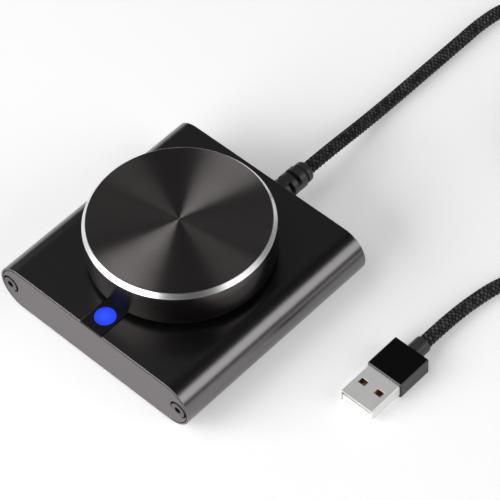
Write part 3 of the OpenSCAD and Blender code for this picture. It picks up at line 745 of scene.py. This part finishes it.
# %% [markdown]
# ## Plastics and rubber
#
# Moulded plastic is a soft-edged shine over a fine grain. Rubber is the same with the shine all
# but gone. One function makes them all, from a colour, a roughness and the size of the grain.

# %% Make the moulded finishes


def moulded(name, base, rough, tooth=0.25, depth=0.01, shine=0.5, metal=0.0):
    """Plastic, rubber or paint: a grain, and a roughness that wanders a little."""
    made, tree, shader, place = material(name, Specular_IOR_Level=shine, Metallic=metal)
    mask = effect(tree, handling, Vector=place, Size=7.0, Contrast=1.0)["Mask"]
    tree.links.new(tinted(tree, mask, tuple(c * 0.88 for c in base), tuple(c * 1.12 for c in base)),
        shader.inputs["Base Color"])
    tree.links.new(spread(tree, mask, rough - 0.05, rough + 0.05), shader.inputs["Roughness"])
    bump(tree, shader, effect(tree, grain, Vector=place, Size=tooth)["Height"], depth)
    return made


print("moulded finish ready")

# %% [markdown]
# ## Two finishes with two tones
#
# The strain relief's slots are dark, because little light gets in between its rings, so its colour
# goes by the distance from the lead's axis. The tongue in the plug is white at the mouth, and what
# the two windows show of it is painted dark brown: the contacts' colour, darkened by painted shade
# inside the shell. So its colour goes by how deep it lies. A second piece of another colour could
# do either, but a mask keeps each piece in one.

# %% Make the strain relief's rubber
SLOT_FLOOR, SLOT_MOUTH = 2.7 * MM, 3 * MM  # from the axis: dark up to here, lit from here on
boot, tree, shader, place = material("boot_rubber", Specular_IOR_Level=0.5)
from_axis = add(tree, "ShaderNodeVectorMath", {0: place, 1: point(1.2, 0, 8.4)},
    operation="SUBTRACT").outputs[0]
from_axis = add(tree, "ShaderNodeVectorMath", {0: from_axis, 1: (1, 0, 1)},
    operation="MULTIPLY").outputs[0]
out = add(tree, "ShaderNodeVectorMath", {0: from_axis}, operation="LENGTH").outputs["Value"]
open_air = add(tree, "ShaderNodeMapRange", {"Value": out, "From Min": SLOT_FLOOR,
    "From Max": SLOT_MOUTH}).outputs[0]
mask = effect(tree, handling, Vector=place, Size=5.0, Contrast=0.6)["Mask"]
tree.links.new(tinted(tree, calc(tree, "MULTIPLY", open_air, spread(tree, mask, 0.8, 1.2)),
    (0.003, 0.003, 0.003), (0.052, 0.05, 0.051)), shader.inputs["Base Color"])
tree.links.new(spread(tree, open_air, 0.95, 0.37), shader.inputs["Roughness"])
bump(tree, shader, effect(tree, grain, Vector=place, Size=0.45)["Height"], 0.03)
print("strain relief's rubber made")

# %% Make the tongue's plastic
WHITE_TO, BROWN_FROM = 4.5 * MM, 5.5 * MM  # along Y, into the plug
tongue, tree, shader, place = material("tongue_plastic", Roughness=0.4)
back = add(tree, "ShaderNodeSeparateXYZ", {0: place}).outputs["Y"]
deep = add(tree, "ShaderNodeMapRange", {"Value": back, "From Min": WHITE_TO,
    "From Max": BROWN_FROM}).outputs[0]
mask = effect(tree, handling, Vector=place, Size=1.5, Contrast=2.0)["Mask"]
# deep inside, the colour is the contacts' brown darkened by painted shade inside the shell
tree.links.new(tinted(tree, calc(tree, "MULTIPLY", deep, spread(tree, mask, 0.75, 1.2)),
    (0.85, 0.85, 0.83), (0.16, 0.05, 0.008)), shader.inputs["Base Color"])
bump(tree, shader, effect(tree, grain, Vector=place, Size=0.3)["Height"], 0.004)
print("tongue's plastic made")

# %% [markdown]
# ## A finish for every slot
#
# The record gives each piece a slot, a name for what it is made of. Most slots are moulded plastic,
# rubber or bright metal, and differ only in their numbers, so they are made in one list. The
# numbers are the colour, the roughness, the size and depth of the grain in millimetres, the shine,
# and how much of it is metal.

# %% List a finish for each slot
sleeve_finish = moulded("sleeve_satin", (0.042, 0.042, 0.044), 0.42, 0.3, 0.002)
finishes = {
    "strip_black": moulded("strip_acrylic", (0.011, 0.011, 0.0115), 0.42, 0.3, 0.002, 0.12),
    "boot_black": boot,
    "plug_black": moulded("plug_plastic", (0.002, 0.002, 0.0022), 0.16, 0.4, 0.001, 0.4),
    "foot_rubber": moulded("foot_rubber", (0.02, 0.02, 0.02), 0.8, 0.4, 0.02, 0.3),
    "core_plastic": moulded("core_plastic", (0.03, 0.03, 0.03), 0.5),
    "board_green": moulded("board_lacquer", (0.01, 0.09, 0.035), 0.35, 0.5, 0.006),
    "chip_black": moulded("chip_epoxy", (0.018, 0.018, 0.02), 0.55, 0.15, 0.01),
    "header_white": moulded("header_nylon", (0.72, 0.7, 0.62), 0.45),
    "wire_red": moulded("wire_sleeve", (0.5, 0.03, 0.025), 0.4),
    "encoder_plastic": moulded("encoder_plastic", (0.02, 0.02, 0.022), 0.5),
    "rotor_plastic": moulded("rotor_plastic", (0.66, 0.65, 0.6), 0.42),
    "strap_black": moulded("strap_nylon", (0.016, 0.016, 0.017), 0.75, 0.6, 0.08, 0.25),
    "led_clear": moulded("led_epoxy", (0.55, 0.62, 0.9), 0.12, 0.5, 0.002),
    "screw_black": screw_finish,
    "tin": moulded("solder_tin", (0.72, 0.71, 0.69), 0.32, 0.2, 0.006, 0.5, 1.0),
    "can_metal": moulded("can_aluminium", (0.75, 0.75, 0.76), 0.28, 0.2, 0.004, 0.5, 1.0),
    "encoder_steel": moulded("encoder_steel", (0.62, 0.62, 0.63), 0.3, 0.15, 0.004, 0.5, 1.0),
    "spring_bronze": moulded("spring_bronze", (0.72, 0.5, 0.26), 0.28, 0.15, 0.003, 0.5, 1.0),
    "shell_steel": moulded("shell_nickel", (0.88, 0.88, 0.87), 0.3, 0.3, 0.002, 0.5, 0.35),
    "tongue_white": tongue,
    "contact_gold": moulded("contact_gold", (0.72, 0.42, 0.2), 0.35, 0.15, 0.002, 0.5, 0.6),
    "case_black": case_finish,
    "plate_grey": plate_finish,
    "knob_metal": knob_side,
    "braid_black": yarn,
}
print("finishes:", len(finishes))

# %% [markdown]
# ## The glowing lens
#
# A disc of milky plastic covers a small lamp on the board. It glows blue, and it is lighter in the
# middle, straight above the lamp, than at its edge. A real lamp could do the same, but a surface
# that gives light is simpler. The photograph shows hardly a glint of it on the knob, so what it
# casts is toned down with the Light Path node. That is a choice of looks, not physics.

# %% Make the glowing lens
PALE_R = 3.3 * MM  # from the middle of the lens to where the lighter patch has faded out
glow, tree, shader, place = material("lens_glow", Roughness=0.35, Specular_IOR_Level=0.2,
    Emission_Strength=1.0, Base_Color=(0.004, 0.01, 0.1, 1))
seen = add(tree, "ShaderNodeLightPath").outputs["Is Camera Ray"]
low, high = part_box("light_lens")
centre = add(tree, "ShaderNodeVectorMath", {0: place, 1: (0, (low.y + high.y) / 2, 0)},
    operation="SUBTRACT")
flat = add(tree, "ShaderNodeVectorMath", {0: centre.outputs[0], 1: (1, 1, 0)}, operation="MULTIPLY")
out = add(tree, "ShaderNodeVectorMath", {0: flat.outputs[0]}, operation="LENGTH").outputs["Value"]
inner = add(tree, "ShaderNodeMapRange", {"Value": out, "From Min": 0.0, "From Max": PALE_R,
    "To Min": 1.0, "To Max": 0.0}, interpolation_type="SMOOTHSTEP").outputs[0]
speck = effect(tree, grain, Vector=place, Size=0.5)["Height"]
inner = calc(tree, "MULTIPLY", inner, spread(tree, speck, 0.85, 1.1))
blue = tinted(tree, inner, (0.018, 0.05, 0.98), (0.03, 0.1, 0.97))
weak = add(tree, "ShaderNodeVectorMath", {0: blue, "Scale": spread(tree, seen, 0.07, 1.0)},
    operation="SCALE")
tree.links.new(weak.outputs[0], shader.inputs["Emission Color"])
bump(tree, shader, speck, 0.004)
finishes["light_blue"] = glow
print("lens radius (mm):", round((high.x - low.x) / 2 / MM, 2))

# %% [markdown]
# ## Pieces with rounded edges
#
# The strain relief, the plug and the strip show in the picture, so they get rounded edges as well.
# The strain relief is soft rubber with deep rounding, the plug's shell is folded sheet with hardly
# any.

# %% Round the small pieces
ROUNDED = {  # node: (rounding in mm, segments, slot)
    "strain_relief": (0.28, 3, "boot_black"), "light_bar": (0.06, 2, "strip_black"),
    "plug_housing": (0.25, 3, "plug_black"), "plug_sleeve": (0.3, 3, "plug_black"),
    "plug_shell": (0.06, 2, "shell_steel"), "plug_insert": (0.08, 2, "tongue_white"),
    "cable_tie": (0.12, 2, "strap_black"),
    "light_lens": (0.05, 2, "light_blue"),
}
for node, (width, segments, slot) in ROUNDED.items():
    mesh = rounded_copy(node, node + "_rounded", width, segments)
    mesh.materials.append(sleeve_finish if node == "plug_sleeve" else finishes[slot])
    shown(node + "_rounded", mesh, "base", slot, node)
print("rounded:", len(ROUNDED))

# %% [markdown]
# ## Four screws and four feet
#
# The screws are all alike, and so are the feet: one at each corner of a rectangle. They could be
# eight separate pieces. Instead one of each is taken from the CAD model, with its edges rounded,
# and Geometry Nodes set a copy on each point of a grid of two by two. The rear ones are turned half
# round, so that the screws' heads face outwards.

# %% Set four alike at the corners of a rectangle
corner_tree, takes, gives = group("GeometryNodeTree", "one_at_each_corner",
    {"Geometry": ("NodeSocketGeometry", None), "Width": (FLOAT, 0.05), "Depth": (FLOAT, 0.05),
     "Height": (FLOAT, 0.0), "Finish": ("NodeSocketMaterial", None)},
    {"Geometry": "NodeSocketGeometry"})
corners = add(corner_tree, "GeometryNodeMeshGrid", {"Size X": takes["Width"],
    "Size Y": takes["Depth"], "Vertices X": 2, "Vertices Y": 2})
raised = add(corner_tree, "GeometryNodeSetPosition", {"Geometry": corners.outputs["Mesh"],
    "Offset": add(corner_tree, "ShaderNodeCombineXYZ", {"Z": takes["Height"]}).outputs[0]})
where = add(corner_tree, "ShaderNodeSeparateXYZ",
    {0: add(corner_tree, "GeometryNodeInputPosition").outputs[0]}).outputs["Y"]
half_round = calc(corner_tree, "MULTIPLY", calc(corner_tree, "GREATER_THAN", where, 0.0), math.pi)
turned_by = add(corner_tree, "ShaderNodeCombineXYZ", {"Z": half_round})
copies = add(corner_tree, "GeometryNodeInstanceOnPoints", {"Points": raised.outputs[0],
    "Instance": takes["Geometry"], "Rotation": turned_by.outputs[0]})
real = add(corner_tree, "GeometryNodeRealizeInstances", {"Geometry": copies.outputs[0]})
done = add(corner_tree, "GeometryNodeSetMaterial", {"Geometry": real.outputs[0],
    "Material": takes["Finish"]})
corner_tree.links.new(done.outputs[0], gives["Geometry"])


def one_of(node, width, corner):
    """One loose piece of a rounded CAD node, on the side of the corner, moved to the origin."""
    mesh = rounded_copy(node, node + "_pattern", width)
    work = bmesh.new()
    work.from_mesh(mesh)
    bmesh.ops.delete(work, geom=[v for v in work.verts if v.co.x * corner.x < 0
        or v.co.y * corner.y < 0], context="VERTS")
    bmesh.ops.translate(work, verts=work.verts, vec=-corner)
    work.to_mesh(mesh)
    work.free()
    return mesh


def four_of(name, node, width, corner, slot, *nodes):
    """Four copies of one piece of a CAD node, at the corners of a rectangle."""
    pattern = bpy.data.objects.new(name + "_pattern", one_of(node, width, corner))
    scene.collection.objects.link(pattern)
    mesh = run_nodes(pattern, corner_tree, name, Width=2 * abs(corner.x), Depth=2 * abs(corner.y),
        Height=corner.z, Finish=finishes[slot])
    bpy.data.objects.remove(pattern)
    shown(name, mesh, "base", slot, *nodes)
    print(name, "faces:", len(mesh.polygons))


low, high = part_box("front_screws")
screw_r = (high.z - low.z) / 2
four_of("screws", "front_screws", 0.06, Vector((high.x - screw_r, low.y, low.z + screw_r)),
    "screw_black", "front_screws", "rear_screws")
low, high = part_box("rubber_feet")
foot_r = 5 * MM  # half of foot_d in the CAD model
four_of("feet", "rubber_feet", 0.15, Vector((low.x + foot_r, low.y + foot_r, 0)),
    "foot_rubber", "rubber_feet")

# %% [markdown]
# ## Finishes for what stays as it is
#
# The pieces inside keep their CAD shape. Each takes the finish of its slot in the record.

# %% Give every CAD node its finish
slot_of = {part["node"]: part["material_slot"] for part in frame["record"]["subparts"]}
for name, piece in frame["nodes"].items():
    slot = slot_of.get(name)
    if not piece.hide_render:
        piece.data.materials.clear()
        piece.data.materials.append(finishes[slot])
print("CAD nodes shown:", sum(not p.hide_render for p in frame["nodes"].values()))

# %% [markdown]
# ## The end

print("scene built")
